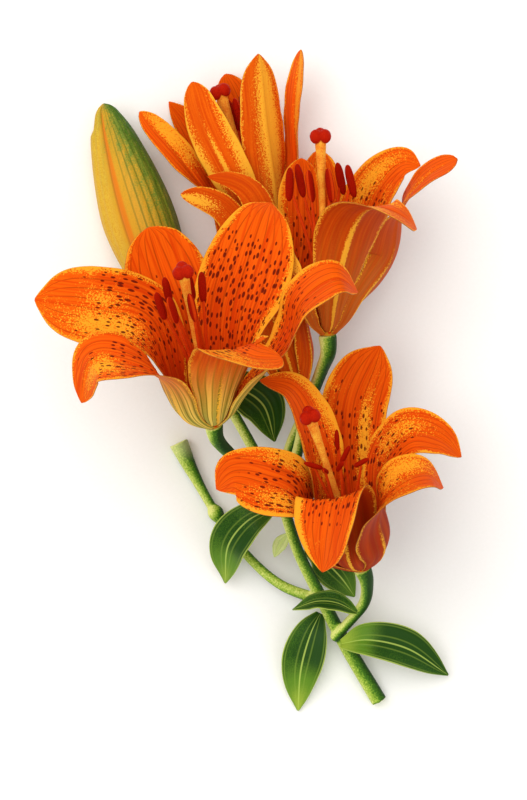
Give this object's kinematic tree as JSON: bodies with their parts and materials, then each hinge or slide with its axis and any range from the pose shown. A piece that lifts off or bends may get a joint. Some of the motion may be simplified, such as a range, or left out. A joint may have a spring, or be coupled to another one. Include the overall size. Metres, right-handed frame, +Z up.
{
  "type": "cut orange lily stem",
  "caption": "Cut flowering stem of an orange lily with open upward-facing flowers, a closed bud, a bare flower stalk and pointed leaves, laid down on a flat surface.",
  "frame": {"origin": "centre of the bottom face of the bounding box, on the surface that the stem lies on", "axes": "+Y from the cut end towards the flowers, +X to the right in the picture, +Z up from the surface"},
  "size_m": [0.1539, 0.2403, 0.107],
  "materials": {
    "tepal": "satin",
    "stamen": "matte",
    "pistil": "satin",
    "stem": "satin",
    "leaf": "satin",
    "bract": "satin",
    "bud": "satin"
  },
  "bodies": {
    "root": {"left_flower_tepal_front": "tepal", "left_flower_tepal_right": "tepal", "left_flower_tepal_big": "tepal", "left_flower_tepal_upper": "tepal", "left_flower_tepal_left": "tepal", "left_flower_tepal_low_left": "tepal", "left_flower_stamens": "stamen", "left_flower_pistil": "pistil", "top_flower_tepal_front": "tepal", "top_flower_tepal_tall": "tepal", "top_flower_tepal_right": "tepal", "top_flower_tepal_back": "tepal", "top_flower_tepal_back_left": "tepal", "top_flower_tepal_left": "tepal", "top_flower_stamens": "stamen", "top_flower_pistil": "pistil", "right_flower_tepal_front": "tepal", "right_flower_tepal_right": "tepal", "right_flower_tepal_right_back": "tepal", "right_flower_tepal_back": "tepal", "right_flower_tepal_left": "tepal", "right_flower_tepal_low_left": "tepal", "right_flower_stamens": "stamen", "right_flower_pistil": "pistil", "low_flower_tepal_front": "tepal", "low_flower_tepal_low_right": "tepal", "low_flower_tepal_right": "tepal", "low_flower_tepal_upper": "tepal", "low_flower_tepal_upper_left": "tepal", "low_flower_tepal_left": "tepal", "low_flower_stamens": "stamen", "low_flower_pistil": "pistil", "hidden_flower_tepal_front": "tepal", "hidden_flower_tepal_front_right": "tepal", "hidden_flower_tepal_back_right": "tepal", "hidden_flower_tepal_back": "tepal", "hidden_flower_tepal_left": "tepal", "hidden_flower_tepal_front_left": "tepal", "hidden_flower_stamens": "stamen", "hidden_flower_pistil": "pistil", "stem": "stem", "bud": "bud", "leaf_big_left": "leaf", "leaf_upper": "leaf", "leaf_behind": "leaf", "leaf_small": "leaf", "leaf_down": "leaf", "leaf_right": "leaf", "bract_small": "bract"}
  },
  "joints": []
}
